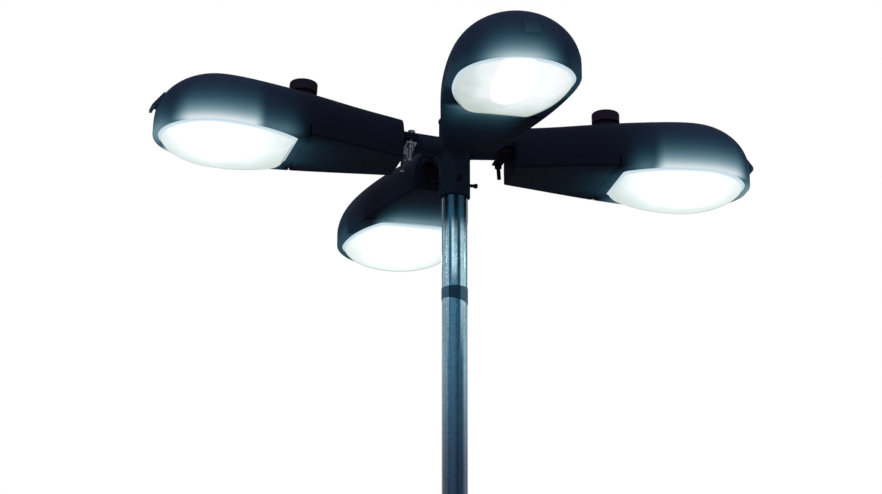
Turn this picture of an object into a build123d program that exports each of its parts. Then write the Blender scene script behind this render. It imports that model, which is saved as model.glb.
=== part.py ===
"""Street light with four road luminaires on a four-way pole-top bracket.

Units are millimetres, +Z is up, the origin is the centre of the base plate's underside.
Heads are named as seen in the photograph: right +X, back +Y, left -X, front -Y.
"""
import math
import os

from build123d import *

# Whole light
mounting_height = 8000.0
arm_rise_deg = 4.2
head_turn_deg = {"right": 0.0, "back": 90.0, "left": 180.0, "front": 270.0}
head_level_deg = {"right": 1.0, "back": 1.0, "left": 3.5, "front": 1.3}

# Base plate and its stiffening ribs
base_side = 320.0
base_thickness = 20.0
base_corner_radius = 24.0
anchor_circle = 300.0
anchor_hole_diameter = 28.0
cable_hole_diameter = 90.0
rib_height = 130.0
rib_reach = 66.0
rib_thickness = 10.0
rib_toe = 14.0

# Stepped pole
lower_tube_diameter = 139.7
middle_tube_diameter = 114.3
upper_tube_diameter = 76.1
tube_wall = 4.5
lower_tube_top = 2600.0
middle_tube_top = 5200.0
swage_cone_height = 90.0
swage_collar_height = 60.0
tube_lap = 300.0
tube_fit = 0.2

# Hand hole near the ground
hand_hole_height = 180.0
hand_hole_width = 85.0
hand_hole_centre = 700.0
hand_hole_corner = 30.0
cover_overlap = 14.0
cover_thickness = 3.0
cover_fit = 0.2

# Dark band round the upper tube
band_height = 41.0
band_thickness = 1.0
band_fit = 0.1
band_below_arms = 458.0
band_slant_deg = 11.0

# Bracket sleeve, its cap and set screws
sleeve_wall = 6.95
sleeve_bore_clearance = 1.0
sleeve_above_arms = 85.0
sleeve_below_arms = 152.0
cap_thickness = 6.0
cap_overhang = 2.0
pole_end_gap = 0.3
set_screw_below_arms = 110.0
set_screw_diameter = 10.0
set_screw_reach = 14.0
set_screw_head_diameter = 15.0
set_screw_head_height = 9.0
set_screw_fit = 0.1

# Bracket arms
arm_diameter = 60.3
arm_wall = 3.9
arm_length = 285.0
weld_fit = 0.2

# Head, measured from the middle of the pipe socket, x outward along the head
head_offset = 215.0
rear_reach = 45.0
bulb_centre = 497.0
front_radius = 188.0
rear_half_width = 80.0
rear_pull_half_width = 127.0
ridge_rear = 61.0
ridge_rear_pull = 75.0
ridge_front_pull = 107.0
ridge_top = 110.0
shoulder_drop = 45.0
dome_pull_share = 0.56
head_depth = 84.0
edge_radius = 8.0
nose_fall_power = 0.45
nose_angles_deg = (14.0, 28.0, 42.0, 55.0, 67.0, 77.0, 85.0)
side_shares = (0.0, 0.2, 0.4, 0.6, 0.8, 1.0)
corner_limit_share = 0.6
corner_least = 4.0
wall_thickness = 6.0

# Door seam and hinge
door_gap = 5.0
seam_drop_back = 56.0
seam_drop_nose = 12.0
hinge_reach = 244.0
hinge_channel = 16.0
hinge_barrel_radius = 5.5
hinge_pin_radius = 3.0
hinge_pin_fit = 0.05
hinge_middle_length = 18.0
hinge_outer_length = 16.0
hinge_half_span = 103.0
hinge_side_gap = 3.0
hinge_web = 9.0
hinge_web_lift = 1.5
door_back_wall = 7.0

# Lens opening and glass
lens_back = 273.0
lens_centre = 463.0
lens_back_half_width = 104.0
lens_half_width = 172.0
lens_corner_radius = 26.0
lens_side_pull = 75.0
lens_mid_half_width = 156.0
lens_mid_reach = 345.0
glass_thickness = 5.0
glass_flange = 4.0
glass_fit = 0.6
glass_side_gap = 3.0
glass_drop = 52.0
glass_shares = (1.0, 0.972, 0.865, 0.645, 0.33)
glass_drop_shares = (0.0, 0.26, 0.56, 0.84, 1.0)

# Reflector, lamp and socket
reflector_rim_drop = 36.0
reflector_crown = 66.0
reflector_thickness = 2.0
reflector_shares = (0.92, 0.86, 0.70, 0.40)
reflector_rise_shares = (0.0, 0.45, 0.82, 1.0)
reflector_post_diameter = 14.0
reflector_post_spacing = 50.0
lamp_height = 8.0
socket_diameter = 46.0
socket_length = 52.0
socket_fit = 0.3
socket_hole_clearance = 6.0
lamp_neck_diameter = 38.0
lamp_bulb_diameter = 78.0
lamp_length = 200.0
lamp_neck_length = 48.0
lamp_fit = 0.3

# Photocell
cell_reach = 251.0
cell_top = 137.0
cell_diameter = 83.0
cell_base_diameter = 66.0
cell_base_height = 8.0
cell_edge_radius = 7.0
cell_pad_diameter = 74.0
cell_pad_height = 97.0
cell_pad_sink = 8.0

# Pipe socket and clamp
socket_bore_clearance = 4.5
pipe_end_gap = 10.0
ear_reach = 93.0
ear_inner = 37.0
ear_outer = 60.0
ear_top = 4.0
ear_bottom = 12.0
ear_bolt_clearance = 0.8
clamp_reach = 72.0
clamp_width = 30.0
clamp_thickness = 6.0
clamp_fit = 0.3
clamp_bolt_spacing = 96.0
clamp_flange_drop = 21.0
clamp_bolt_diameter = 12.0
clamp_bolt_top = 9.0
clamp_bolt_bottom = 74.0
clamp_nut_diameter = 22.0
clamp_nut_height = 13.0
clamp_head_height = 8.0

# Nose latch
latch_width = 46.0
latch_top = 34.0
latch_lip = 4.0
latch_stand_off = 14.0
latch_tip_drop = 9.0
latch_heel_drop = 19.0
latch_door_gap = 6.0
latch_seam_drop = 6.0

# Derived sizes
sleeve_diameter = upper_tube_diameter + 2 * (sleeve_bore_clearance + sleeve_wall)
pole_top_z = mounting_height + sleeve_above_arms - pole_end_gap
nose_reach = bulb_centre + front_radius
door_back = hinge_reach + hinge_channel / 2
recess_back = hinge_reach - hinge_channel / 2
cover_front = door_back - door_gap
chamber_back = door_back + door_back_wall
hinge_drop = head_depth
far_out = 2 * nose_reach


def head_place(name):
    """Location of a head on the light, at its own level."""
    rise = math.radians(arm_rise_deg)
    socket = Pos(head_offset * math.cos(rise), 0, head_offset * math.sin(rise))
    turn = Pos(0, 0, mounting_height) * Rot(0, 0, head_turn_deg[name])
    return turn * socket * Rot(0, -head_level_deg[name], 0)


def arm_place(name):
    """Location of an arm, x along the pipe from the pole axis."""
    return Pos(0, 0, mounting_height) * Rot(0, 0, head_turn_deg[name]) * Rot(0, -arm_rise_deg, 0)


def turned_profile(points):
    """Solid of revolution about Z from (radius, height) points."""
    outline = Polyline(*[(r, 0, z) for r, z in points], close=True)
    return revolve(make_face(outline), Axis.Z)


def rod(start, end, radius):
    """Round bar from one point to another."""
    path = Vector(*end) - Vector(*start)
    plane = Plane(origin=start, z_dir=path)
    return plane * extrude(Circle(radius), path.length)


def block(low, high):
    """Box between two opposite corners."""
    size = [b - a for a, b in zip(low, high)]
    middle = [(a + b) / 2 for a, b in zip(low, high)]
    return Pos(*middle) * Box(*size)


def side_prism(points, half_width):
    """Prism with an outline in the XZ plane, spread equally to both sides."""
    outline = make_face(Polyline(*[(x, 0, z) for x, z in points], close=True))
    return extrude(outline, half_width, dir=(0, 1, 0), both=True)


# Base and pole


def make_base_plate():
    """Square plate with anchor holes and a cable hole."""
    outline = RectangleRounded(base_side, base_side, base_corner_radius)
    holes = PolarLocations(anchor_circle / 2, 4, 45) * Circle(anchor_hole_diameter / 2)
    return extrude(outline - holes - Circle(cable_hole_diameter / 2), base_thickness)


def make_base_ribs():
    """Four upright ribs between the base plate and the pole."""
    inner = lower_tube_diameter / 2 + weld_fit
    outer = inner + rib_reach
    top = base_thickness + rib_height
    toe = base_thickness + rib_toe
    points = [(inner, base_thickness), (outer, base_thickness), (outer, toe)]
    points += [(inner + rib_toe, top), (inner, top)]
    rib = side_prism(points, rib_thickness / 2)
    return Compound(children=[Rot(0, 0, turn) * rib for turn in head_turn_deg.values()])


def stepped_tube(diameter, bottom, top, next_diameter):
    """Pole tube swaged down at its top to grip the next tube."""
    r = diameter / 2
    inner = r - tube_wall
    grip = next_diameter / 2 + tube_fit
    cone = top + swage_cone_height
    end = cone + swage_collar_height
    outside = [(r, bottom), (r, top), (grip + tube_wall, cone), (grip + tube_wall, end)]
    inside = [(grip, end), (grip, cone), (inner, top), (inner, bottom)]
    return turned_profile(outside + inside)


def hand_hole_prism(width, height, corner):
    """Rounded bar that cuts the hand hole through the front of the pole."""
    plane = Plane(origin=(0, 0, hand_hole_centre), x_dir=(1, 0, 0), z_dir=(0, -1, 0))
    return plane * extrude(RectangleRounded(width, height, corner), lower_tube_diameter)


def make_lower_tube():
    """Lowest tube with its hand hole."""
    tube = stepped_tube(lower_tube_diameter, base_thickness, lower_tube_top, middle_tube_diameter)
    return tube - hand_hole_prism(hand_hole_width, hand_hole_height, hand_hole_corner)


def make_hand_hole_cover():
    """Curved cover plate over the hand hole."""
    inner = lower_tube_diameter / 2 + cover_fit
    width = hand_hole_width + 2 * cover_overlap
    height = hand_hole_height + 2 * cover_overlap
    ring = Circle(inner + cover_thickness) - Circle(inner)
    shell = Pos(0, 0, hand_hole_centre - height) * extrude(ring, 2 * height)
    return shell & hand_hole_prism(width, height, hand_hole_corner + cover_overlap)


def make_middle_tube():
    """Middle tube, its foot inside the lower one."""
    bottom = lower_tube_top - tube_lap
    return stepped_tube(middle_tube_diameter, bottom, middle_tube_top, upper_tube_diameter)


def make_upper_tube():
    """Top tube, from inside the middle one up into the sleeve."""
    ring = Circle(upper_tube_diameter / 2) - Circle(upper_tube_diameter / 2 - tube_wall)
    bottom = middle_tube_top - tube_lap
    return Pos(0, 0, bottom) * extrude(ring, pole_top_z - bottom)


def make_pole_band():
    """Thin dark band on the upper tube, square above and cut at a slant below."""
    inner = upper_tube_diameter / 2 + band_fit
    ring = Circle(inner + band_thickness) - Circle(inner)
    middle = Pos(0, 0, mounting_height - band_below_arms)
    band = middle * extrude(ring, band_height, both=True)
    slant = Pos(0, 0, -band_height / 2) * Rot(0, band_slant_deg, 0)
    below = slant * Pos(0, 0, -band_height) * Box(*[4 * band_height] * 2, 2 * band_height)
    above = Pos(0, 0, 3 * band_height / 2) * Box(*[4 * band_height] * 2, 2 * band_height)
    return (band - middle * below - middle * above).solid()


# Bracket


def make_sleeve():
    """Sleeve over the pole top, drilled for its set screws."""
    bore = upper_tube_diameter / 2 + sleeve_bore_clearance
    ring = Circle(sleeve_diameter / 2) - Circle(bore)
    height = sleeve_above_arms + sleeve_below_arms
    tube = Pos(0, 0, mounting_height - sleeve_below_arms) * extrude(ring, height)
    z = mounting_height - set_screw_below_arms
    drill = rod((0, 0, z), (sleeve_diameter, 0, z), set_screw_diameter / 2 + set_screw_fit)
    for turn in head_turn_deg.values():
        tube -= Rot(0, 0, turn) * drill
    return tube


def make_sleeve_cap():
    """Cap welded on the sleeve."""
    disc = extrude(Circle(sleeve_diameter / 2 + cap_overhang), cap_thickness)
    disc = fillet(disc.edges().group_by(Axis.Z)[-1], cap_thickness / 2)
    return Pos(0, 0, mounting_height + sleeve_above_arms) * disc


def make_arms():
    """Four pipes welded round the sleeve."""
    pipe = rod((0, 0, 0), (arm_length, 0, 0), arm_diameter / 2)
    pipe -= rod((0, 0, 0), (arm_length, 0, 0), arm_diameter / 2 - arm_wall)
    low = mounting_height - sleeve_diameter
    core = Pos(0, 0, low) * extrude(Circle(sleeve_diameter / 2 + weld_fit), 2 * sleeve_diameter)
    return Compound(children=[(arm_place(name) * pipe - core).solid() for name in head_turn_deg])


def make_set_screws():
    """Four screws through the sleeve, tight on the pole."""
    z = mounting_height - set_screw_below_arms
    start = upper_tube_diameter / 2 + set_screw_fit
    seat = sleeve_diameter / 2 + set_screw_reach
    head = Plane(origin=(seat, 0, z), z_dir=(1, 0, 0)) * extrude(
        RegularPolygon(set_screw_head_diameter / 2, 6), set_screw_head_height
    )
    screw = rod((start, 0, z), (seat, 0, z), set_screw_diameter / 2) + head
    return Compound(children=[(Rot(0, 0, turn) * screw).solid() for turn in head_turn_deg.values()])


# Head shell


def bezier_value(values, t):
    """Height of a cubic curve at a share of its length."""
    s = 1 - t
    weights = (s**3, 3 * s * s * t, 3 * s * t * t, t**3)
    return sum(w * v for w, v in zip(weights, values))


def ridge_z(x):
    """Height of the head's ridge over the sides."""
    ridges = (ridge_rear, ridge_rear_pull, ridge_front_pull, ridge_top)
    return bezier_value(ridges, (x + rear_reach) / (bulb_centre + rear_reach))


def head_section(x, half_width, top, floor, corner):
    """Cross-section of the head: flat floor, rounded edges, short upright sides, domed top."""
    r = min(corner, half_width * corner_limit_share)
    flat = half_width - r
    pull_y = half_width * dome_pull_share
    pull_z = (top + shoulder_drop) * dome_pull_share - shoulder_drop
    side = [(half_width, -shoulder_drop), (half_width, pull_z), (pull_y, top), (0, top)]
    plane = Plane(origin=(x, 0, 0), x_dir=(0, 1, 0), z_dir=(1, 0, 0))
    edges = [
        Line((-flat, floor), (flat, floor)),
        CenterArc((flat, floor + r), r, -90, 90),
        Line((half_width, floor + r), (half_width, -shoulder_drop)),
        Bezier(*side),
        Bezier(*[(-y, z) for y, z in reversed(side)]),
        Line((-half_width, -shoulder_drop), (-half_width, floor + r)),
        CenterArc((-flat, floor + r), r, 180, 90),
    ]
    return plane * make_face(edges)


def head_loft(inset, back):
    """Tear-drop body of the head, drawn in by an inset, from a flat back to the round nose."""
    sections = []
    length = bulb_centre + rear_reach
    widths = (rear_half_width, rear_pull_half_width, front_radius, front_radius)
    floor = inset - head_depth
    corner = max(edge_radius - inset, corner_least)
    for share in side_shares:
        x = back + share * (bulb_centre - back)
        t = (x + rear_reach) / length
        half_width = bezier_value(widths, t) - inset
        sections.append(head_section(x, half_width, ridge_z(x) - inset, floor, corner))
    radius = front_radius - inset
    for angle in nose_angles_deg:
        c = math.cos(math.radians(angle))
        s = math.sin(math.radians(angle))
        top = (ridge_top - inset + shoulder_drop) * c ** (2 * nose_fall_power) - shoulder_drop
        short = max(corner - radius * (1 - s), 0)
        lift = corner - math.sqrt(corner**2 - short**2)
        sections.append(head_section(bulb_centre + radius * s, radius * c, top, floor + lift, corner))
    return loft(sections)


def nose_surface(z):
    """Reach of the nose along the middle of the head at a height."""
    share = (z + shoulder_drop) / (ridge_top + shoulder_drop)
    c = share ** (1 / (2 * nose_fall_power))
    return bulb_centre + front_radius * math.sqrt(1 - c * c)


def seam_z(x, shift):
    """Height of the door seam at x, moved up by a shift."""
    share = (x - door_back) / (nose_reach - door_back)
    return shift - seam_drop_back + share * (seam_drop_back - seam_drop_nose)


def seam_prism(back, shift, thickness):
    """Everything ahead of a back plane within a depth below the moved seam."""
    upper = [(back, seam_z(back, shift)), (far_out, seam_z(far_out, shift))]
    lower = [(far_out, seam_z(far_out, shift - thickness)), (back, seam_z(back, shift - thickness))]
    return side_prism(upper + lower, 2 * front_radius)


def hinge_knuckle(low, high, side, radius):
    """Barrel on the hinge axis with a web toward one side."""
    barrel = rod((hinge_reach, low, -hinge_drop), (hinge_reach, high, -hinge_drop), radius)
    web_end = hinge_reach + side * (hinge_channel / 2 + hinge_web / 2)
    x_pair = sorted((hinge_reach, web_end))
    foot = hinge_web_lift - hinge_drop
    web = block((x_pair[0], low, foot), (x_pair[1], high, hinge_web - hinge_drop))
    return barrel + web


def make_housing(body, chamber):
    """Cast upper shell with closed rear compartment, pipe socket and clamp ears."""
    shell = body - chamber
    shell -= seam_prism(cover_front, door_gap / 2, far_out)
    recess = hinge_half_span + hinge_side_gap
    low = (recess_back, -recess, -2 * head_depth)
    shell -= block(low, (door_back, recess, seam_z(door_back, door_gap / 2)))
    for y in (-reflector_post_spacing / 2, reflector_post_spacing / 2):
        root = ridge_z(lens_centre) - wall_thickness / 2
        shell += rod((lens_centre, y, reflector_crown), (lens_centre, y, root), reflector_post_diameter / 2)
    pad_foot = (cell_reach, 0, ridge_z(cell_reach) - cell_pad_sink)
    shell += rod(pad_foot, (cell_reach, 0, cell_pad_height), cell_pad_diameter / 2)
    for side in (-1, 1):
        near, far = sorted((side * ear_inner, side * ear_outer))
        ear = block((-ear_reach, near, -ear_bottom), (-rear_reach + wall_thickness, far, ear_top))
        shell += fillet(ear.edges().filter_by(Axis.Z).group_by(Axis.X)[0], wall_thickness)
        y = side * clamp_bolt_spacing / 2
        hole = clamp_bolt_diameter / 2 + ear_bolt_clearance
        shell -= rod((-clamp_reach, y, -head_depth), (-clamp_reach, y, head_depth), hole)
    pipe_room = arm_diameter / 2 + socket_bore_clearance
    shell -= rod((-2 * ear_reach, 0, 0), (arm_length + pipe_end_gap - head_offset, 0, 0), pipe_room)
    half = hinge_middle_length / 2
    inner = hinge_half_span - hinge_outer_length
    for low, high in ((-half, half), (inner, hinge_half_span), (-hinge_half_span, -inner)):
        shell += hinge_knuckle(low, high, -1, hinge_barrel_radius)
    pin_room = hinge_pin_radius + hinge_pin_fit
    shell -= rod((hinge_reach, -far_out, -hinge_drop), (hinge_reach, far_out, -hinge_drop), pin_room)
    return shell.solid()


# Door and glass


def lens_outline(margin, share):
    """Lens outline face about the lens centre: round front, tapering sides, straight back."""
    half = lens_half_width + margin
    back = lens_back - lens_centre - margin
    back_half = lens_back_half_width + margin
    arc_centre = bulb_centre - lens_centre
    mid = (lens_mid_reach - lens_centre, lens_mid_half_width + margin)
    side = Bezier((arc_centre, half), (arc_centre - lens_side_pull, half), mid, (back, back_half))
    other = mirror(side, about=Plane.XZ)
    nose = ThreePointArc((arc_centre, half), (arc_centre + half, 0), (arc_centre, -half))
    rear = Line((back, back_half), (back, -back_half))
    face = make_face([side, nose, other, rear])
    face = fillet(face.vertices().group_by(Axis.X)[0], lens_corner_radius)
    return Pos(lens_centre, 0, 0) * scale(face, by=share)


def lens_loft(margin, shares, heights):
    """Loft through shrunken copies of the lens outline at given heights."""
    return loft([Pos(0, 0, z) * lens_outline(margin, share) for share, z in zip(shares, heights)])


def make_door_frame(body, chamber):
    """Lower door: tray with the lens opening, hinge knuckles and pin."""
    region = seam_prism(door_back, -door_gap / 2, far_out)
    frame = (body - chamber) & region
    opening = extrude(lens_outline(0, 1), 2 * wall_thickness, both=True)
    frame -= Pos(0, 0, -head_depth) * opening
    inner = hinge_middle_length / 2 + hinge_side_gap
    outer = hinge_half_span - hinge_outer_length - hinge_side_gap
    for low, high in ((inner, outer), (-outer, -inner)):
        frame += hinge_knuckle(low, high, 1, hinge_barrel_radius)
    start = (hinge_reach, -hinge_half_span, -hinge_drop)
    frame += rod(start, (hinge_reach, hinge_half_span, -hinge_drop), hinge_pin_radius)
    return frame.solid()


def make_lens():
    """Dished glass hanging through the door opening from a flat flange."""
    seat = wall_thickness - head_depth + glass_fit
    top = seat + glass_thickness
    depth = top + head_depth + glass_drop
    heights = [top - depth * share for share in glass_drop_shares]
    bowl = lens_loft(-glass_side_gap, glass_shares, heights)
    margin = glass_side_gap + glass_thickness
    inner = lens_loft(-margin, glass_shares, [z + glass_thickness for z in heights])
    inner += Pos(0, 0, seat) * extrude(lens_outline(-margin, 1), 2 * glass_thickness)
    flange = Pos(0, 0, seat) * extrude(lens_outline(glass_flange, 1), glass_thickness)
    return (flange + bowl - inner).solid()


# Inside the lamp chamber


def make_reflector():
    """Spun reflector over the lamp, open below and notched for the socket."""
    rise = reflector_crown + reflector_rim_drop
    heights = [rise * share - reflector_rim_drop for share in reflector_rise_shares]
    outer = lens_loft(0, reflector_shares, heights)
    lowered = [z - reflector_thickness for z in heights]
    inner = lens_loft(-reflector_thickness, reflector_shares, lowered)
    hole = socket_diameter / 2 + socket_hole_clearance
    return (outer - inner - rod((0, 0, lamp_height), (lens_centre, 0, lamp_height), hole)).solid()


def make_lamp_socket():
    """Porcelain lamp socket on the bulkhead."""
    start = chamber_back + socket_fit
    return rod((start, 0, lamp_height), (start + socket_length, 0, lamp_height), socket_diameter / 2)


def make_lamp():
    """Lamp bulb, neck in the socket's mouth."""
    start = chamber_back + socket_length + socket_fit + lamp_fit
    neck = lamp_neck_diameter / 2
    bulb = lamp_bulb_diameter / 2
    shoulder = start + lamp_neck_length
    end = start + lamp_length
    middle = (shoulder + end) / 2
    axis_line = Line((end, 0), (start, 0))
    base = Line((start, 0), (start, neck))
    curve = Spline((start, neck), (shoulder, bulb), (middle, bulb), (end, 0), tangents=((1, 0), (0, -1)))
    face = make_face([axis_line, base, curve])
    return Pos(0, 0, lamp_height) * revolve(Plane.XZ * face, Axis.X)


# Pieces outside the shell


def make_photocell():
    """Twist-lock photocell on its pad."""
    base_r = cell_base_diameter / 2
    cap_r = cell_diameter / 2
    shelf = cell_pad_height + cell_base_height
    foot = [(0, cell_pad_height), (base_r, cell_pad_height), (base_r, shelf)]
    cap = [(cap_r, shelf), (cap_r, cell_top), (0, cell_top)]
    cell = turned_profile(foot + cap)
    cell = fillet(cell.edges().group_by(Axis.Z)[-1], cell_edge_radius)
    return Pos(cell_reach, 0, 0) * cell


def make_pipe_clamp():
    """Strap under the pipe with two bolts up through the ears, placed along the arm."""
    x = head_offset - clamp_reach
    low = x - clamp_width / 2
    high = x + clamp_width / 2
    r = arm_diameter / 2 + clamp_fit
    strap = rod((low, 0, 0), (high, 0, 0), r + clamp_thickness) - rod((low, 0, 0), (high, 0, 0), r)
    strap &= block((low, -far_out, -far_out), (high, far_out, -clamp_flange_drop))
    top = -clamp_flange_drop
    for side in (-1, 1):
        near, far = sorted((side * (arm_diameter / 2 - clamp_thickness), side * ear_outer))
        flange = block((low, near, top - clamp_thickness), (high, far, top))
        strap += flange - rod((low, 0, 0), (high, 0, 0), r)
        y = side * clamp_bolt_spacing / 2
        strap += rod((x, y, -clamp_bolt_bottom), (x, y, clamp_bolt_top), clamp_bolt_diameter / 2)
        nut_top = top - clamp_thickness
        hexagon = RegularPolygon(clamp_nut_diameter / 2, 6)
        strap += Pos(x, y, nut_top - clamp_nut_height) * extrude(hexagon, clamp_nut_height)
        strap += Pos(x, y, clamp_bolt_top) * extrude(hexagon, clamp_head_height)
    return strap.solid()


def make_latch():
    """Trigger latch lying on the nose with its lower lip standing off."""
    top_reach = nose_surface(latch_top) + latch_lip
    tip_reach = nose_reach + latch_stand_off
    gap = nose_reach + latch_door_gap
    inside = top_reach - latch_top
    points = [(top_reach, latch_top), (tip_reach, -latch_tip_drop), (tip_reach, -latch_heel_drop)]
    points += [(gap, -latch_heel_drop), (gap, -latch_seam_drop)]
    points += [(inside, -latch_seam_drop), (inside, latch_top)]
    wedge = side_prism(points, latch_width / 2) - head_loft(-weld_fit, chamber_back)
    return wedge.solids().sort_by(Axis.X)[-1]


def main():
    """Build every piece once and export one STEP file per node."""
    os.makedirs("parts", exist_ok=True)
    body = head_loft(0, -rear_reach)
    chamber = head_loft(wall_thickness, chamber_back)
    fixed = {
        "base_plate": make_base_plate(),
        "base_ribs": make_base_ribs(),
        "pole_lower_tube": make_lower_tube(),
        "hand_hole_cover": make_hand_hole_cover(),
        "pole_middle_tube": make_middle_tube(),
        "pole_upper_tube": make_upper_tube(),
        "pole_band": make_pole_band(),
        "bracket_sleeve": make_sleeve(),
        "sleeve_cap": make_sleeve_cap(),
        "bracket_arms": make_arms(),
        "set_screws": make_set_screws(),
    }
    head = {
        "housing": make_housing(body, chamber),
        "door_frame": make_door_frame(body, chamber),
        "lens": make_lens(),
        "reflector": make_reflector(),
        "lamp_socket": make_lamp_socket(),
        "lamp": make_lamp(),
        "photocell": make_photocell(),
        "latch": make_latch(),
    }
    clamp = make_pipe_clamp()
    for node, shape in fixed.items():
        export_step(shape, f"parts/{node}.step")
    for name in head_turn_deg:
        for piece, shape in head.items():
            export_step(head_place(name) * shape, f"parts/{piece}_{name}.step")
        export_step(arm_place(name) * clamp, f"parts/pipe_clamp_{name}.step")


if __name__ == "__main__":
    main()
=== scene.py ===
"""Looks of a four-arm pole-top street light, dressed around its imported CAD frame.

Lengths are in metres unless a name says otherwise, +Z is up and the origin is under the base plate.
"""
import logging
import math
from dataclasses import dataclass
from enum import Enum
from typing import Any, Iterable, Sequence

import bmesh
import bpy
from mathutils import Euler, Matrix, Vector


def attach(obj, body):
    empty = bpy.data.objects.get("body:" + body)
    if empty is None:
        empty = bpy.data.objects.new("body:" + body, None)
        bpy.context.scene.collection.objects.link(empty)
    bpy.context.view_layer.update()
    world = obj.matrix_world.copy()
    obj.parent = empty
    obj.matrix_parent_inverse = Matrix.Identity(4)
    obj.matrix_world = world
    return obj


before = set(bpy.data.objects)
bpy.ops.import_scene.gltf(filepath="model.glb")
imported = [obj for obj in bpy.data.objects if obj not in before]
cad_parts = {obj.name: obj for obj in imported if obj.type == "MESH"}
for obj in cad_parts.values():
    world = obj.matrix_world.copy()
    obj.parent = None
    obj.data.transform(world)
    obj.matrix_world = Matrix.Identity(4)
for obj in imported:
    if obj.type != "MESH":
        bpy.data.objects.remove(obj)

Tree, Socket, Node, Material = (
    bpy.types.NodeTree, bpy.types.NodeSocket, bpy.types.Node, bpy.types.Material)

LOG = logging.getLogger("street_light")
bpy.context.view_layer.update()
IMAGE_WIDTH, IMAGE_HEIGHT = 882, 494
MM = 0.001
BRACKET_HEIGHT = 8.0
ARM_RISE_DEG = 4.2
# Underside of the housing, in a head's own frame
HEAD_FLOOR = -0.084


def linear(hex_colour: str) -> tuple[float, float, float, float]:
    """Turn an sRGB hex colour into a linear one.

    Args:
        hex_colour: six hex digits.

    Returns:
        Red, green, blue and an alpha of one.
    """
    parts = [int(hex_colour[i:i + 2], 16) / 255 for i in (0, 2, 4)]
    # The transfer curve of the sRGB standard
    flat = [c / 12.92 if c <= 0.04045 else ((c + 0.055) / 1.055) ** 2.4 for c in parts]
    return (flat[0], flat[1], flat[2], 1.0)


def add_node(tree: Tree, kind: str, inputs: dict[Any, Any] | None = None, **settings: Any) -> Node:
    """Add a node to a tree, with its settings, values and links.

    Args:
        tree: shader or geometry node tree.
        kind: Blender's name of the node type.
        inputs: input name or number, with a value or the output socket that feeds it.
        settings: attributes of the node.

    Returns:
        The new node.
    """
    node = tree.nodes.new(kind)
    for name, value in settings.items():
        setattr(node, name, value)
    for key, value in (inputs or {}).items():
        if isinstance(value, Socket):
            tree.links.new(value, node.inputs[key])
        else:
            node.inputs[key].default_value = value
    return node


def ramp_stops(node: Node, stops: Sequence[tuple[float, str, float]]) -> Node:
    """Set the stops of a colour ramp.

    Args:
        node: the colour ramp.
        stops: places from 0 to 1 with a hex colour and its level each.

    Returns:
        The same node.
    """
    elements = node.color_ramp.elements
    while len(elements) < len(stops):
        elements.new(1.0)
    for element, (place, colour, level) in zip(elements, stops):
        element.position = place
        element.color = (*(level * c for c in linear(colour)[:3]), 1.0)
    return node


def step(tree: Tree, value: Socket, low: float, high: float, first: float = 0.0,
         last: float = 1.0) -> Socket:
    """Pass smoothly from one level to another as a value goes from low to high.

    Args:
        tree: the node tree.
        value: what is measured.
        low: where the change starts.
        high: where it ends.
        first: level at the low end.
        last: level at the high end.

    Returns:
        The level.
    """
    node = add_node(tree, "ShaderNodeMapRange", {
        "Value": value, "From Min": low, "From Max": high, "To Min": first, "To Max": last},
        interpolation_type="SMOOTHSTEP")
    return node.outputs["Result"]


def combine(tree: Tree, operation: str, *values: Any) -> Socket:
    """Join values one after another with the same operation.

    Args:
        tree: the node tree.
        operation: Blender's name of the operation.
        values: numbers or sockets, two or more.

    Returns:
        The result.
    """
    result = values[0]
    for value in values[1:]:
        result = add_node(tree, "ShaderNodeMath", {0: result, 1: value}, operation=operation).outputs[0]
    return result


def apply(tree: Tree, operation: str, value: Socket) -> Socket:
    """Put one value through an operation.

    Args:
        tree: the node tree.
        operation: Blender's name of the operation.
        value: what goes in.

    Returns:
        The result.
    """
    return add_node(tree, "ShaderNodeMath", {0: value}, operation=operation).outputs[0]


def blend(tree: Tree, share: Socket, first: Any, second: Any) -> Socket:
    """Mix two colours.

    Args:
        tree: the node tree.
        share: how much of the second colour there is, from 0 to 1.
        first: a linear colour or a socket.
        second: a linear colour or a socket.

    Returns:
        The mixed colour.
    """
    return add_node(tree, "ShaderNodeMix", {0: share, 6: first, 7: second}, data_type="RGBA").outputs[2]


class Side(Enum):
    """The four directions in which the heads point, by their turn about the pole in degrees."""

    RIGHT = 0.0
    BACK = 90.0
    LEFT = 180.0
    FRONT = 270.0

    @property
    def label(self) -> str:
        """Ending of the CAD nodes' names on this side."""
        return self.name.lower()


# Finishes


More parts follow.
